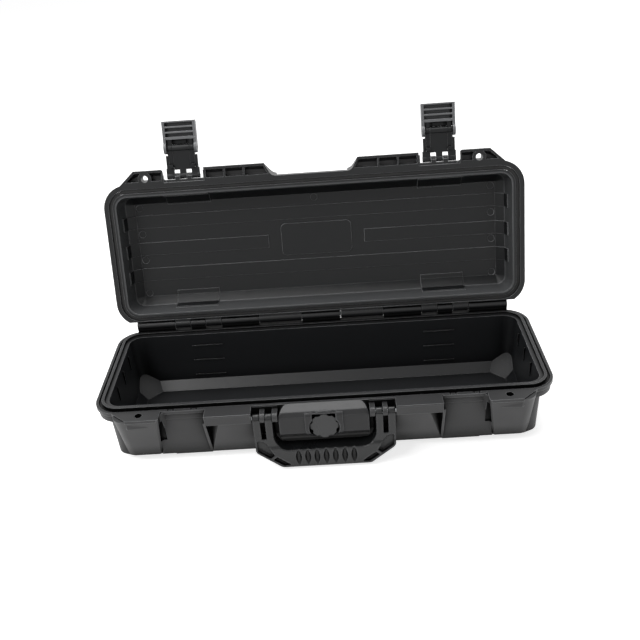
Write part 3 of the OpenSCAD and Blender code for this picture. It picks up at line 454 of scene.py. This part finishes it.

# Webs on each lever in the links' darker plastic, set back so that its slot and its root read as dark
# pockets:
# painted shade. Their sizes are for the shut lid, and the lid's opening then carries them to where the
# lever rests.
leverShadeWebs = {
    "Slot": {"halfWidth": 0.00495, "front": -0.13305, "back": -0.13155, "low": 0.0888, "high": 0.0896},
    "Root": {"halfWidth": 0.016, "front": -0.1293, "back": -0.1279, "low": 0.0887, "high": 0.09},
}
openLid = (Matrix.Translation(hingePlace) @ Matrix.Rotation(-shutAngle, 4, "X")
           @ Matrix.Translation(-hingePlace))
for side, word in bothSides:
    for use, web in leverShadeWebs.items():
        corners = boxPoints((side * latchPlace - web["halfWidth"], web["front"], web["low"]),
                            (side * latchPlace + web["halfWidth"], web["back"], web["high"]))
        addPiece(f"leverWeb{use}{word.capitalize()}", [openLid @ point for point in corners], boxFaces,
                 linkPlastic, f"lever_{word}")
print("stage 4: pieces of the scene")


def seenDirectly(tree):
    # 1 for what the camera sees, also in a reflection or through glass, and 0 for fill light
    ray = addNode(tree, "ShaderNodeLightPath")
    seen = addNode(tree, "ShaderNodeMath", {"operation": "MAXIMUM"},
                   {0: ray.outputs["Is Camera Ray"], 1: ray.outputs["Is Glossy Ray"]})
    return addNode(tree, "ShaderNodeMath", {"operation": "MAXIMUM"},
                   {0: seen.outputs[0], 1: ray.outputs["Is Transmission Ray"]}).outputs[0]


floorLook = {"size": 12.0, "colour": "#e6e6e6", "cameraGlow": 0.75, "tooth": 3, "toothDepth": 0.0005,
             "toothStrength": 0.03}
white = (1.0, 1.0, 1.0, 1.0)


def paperSweep(name, look):
    # Matt paper under the object: it reads white to the camera and in reflections, and keeps the shadow
    material, tree = emptyTree(name)
    place = addNode(tree, "ShaderNodeTexCoord")
    tooth = addNode(tree, "ShaderNodeTexNoise", {"Scale": perMillimetre(look["tooth"]), "Detail": 2.0},
                    {"Vector": place.outputs["Object"]})
    bump = addNode(tree, "ShaderNodeBump",
                   {"Strength": look["toothStrength"], "Distance": look["toothDepth"]},
                   {"Height": tooth.outputs[0]})
    paper = addNode(tree, "ShaderNodeBsdfDiffuse", {"Color": toLinear(look["colour"])},
                    {"Normal": bump.outputs[0]})
    strength = addNode(tree, "ShaderNodeMath", {"operation": "MULTIPLY", 1: look["cameraGlow"]},
                       {0: seenDirectly(tree)})
    glow = addNode(tree, "ShaderNodeEmission", {"Color": white}, {"Strength": strength.outputs[0]})
    both = addNode(tree, "ShaderNodeAddShader", links={0: paper.outputs[0], 1: glow.outputs[0]})
    addNode(tree, "ShaderNodeOutputMaterial", links={"Surface": both.outputs[0]})
    return material


half = floorLook["size"] / 2
floorMesh = bpy.data.meshes.new("floor")
floorMesh.from_pydata([(-half, -half, 0), (half, -half, 0), (half, half, 0), (-half, half, 0)], [],
                      [(0, 1, 2, 3)])
floorMesh.materials.append(paperSweep("paperSweepMatt", floorLook))
floor = bpy.data.objects.new("floor", floorMesh)
scene.collection.objects.link(floor)

# The studio's white walls: strength 1 where they are seen, less as fill light
worldLook = {"fill": 0.26}
world = bpy.data.worlds.new("studio")
scene.world = world
world.use_nodes = True
world.node_tree.nodes.clear()
strength = addNode(world.node_tree, "ShaderNodeMapRange", {"To Min": worldLook["fill"], "To Max": 1.0},
                   {"Value": seenDirectly(world.node_tree)})
sky = addNode(world.node_tree, "ShaderNodeBackground", {"Color": white},
              {"Strength": strength.outputs[0]})
addNode(world.node_tree, "ShaderNodeOutputWorld", links={"Surface": sky.outputs[0]})

# Soft boxes: where they hang, how large they are and how strong; all point at the case
softBoxes = {
    "softBoxFront": {"place": (-1.0, -1.0, 1.6), "size": (0.9, 0.7), "power": 17.0},
    "softBoxTop": {"place": (-0.1, 0.35, 1.9), "size": (1.5, 0.7), "power": 26.0},
    "softBoxRight": {"place": (1.6, -0.6, 0.9), "size": (0.8, 0.8), "power": 0.3},
}
lampTarget = Vector((0, 0, 0.1))
for name, box in softBoxes.items():
    lamp = bpy.data.lights.new(name, "AREA")
    lamp.shape = "RECTANGLE"
    lamp.size, lamp.size_y = box["size"]
    lamp.energy = box["power"]
    lampObject = bpy.data.objects.new(name, lamp)
    lampObject.location = box["place"]
    lampObject.rotation_euler = (lampTarget - Vector(box["place"])).to_track_quat("-Z", "Y").to_euler()
    scene.collection.objects.link(lampObject)
scene.view_settings.view_transform = "Standard"
print("stage 5: floor and light")
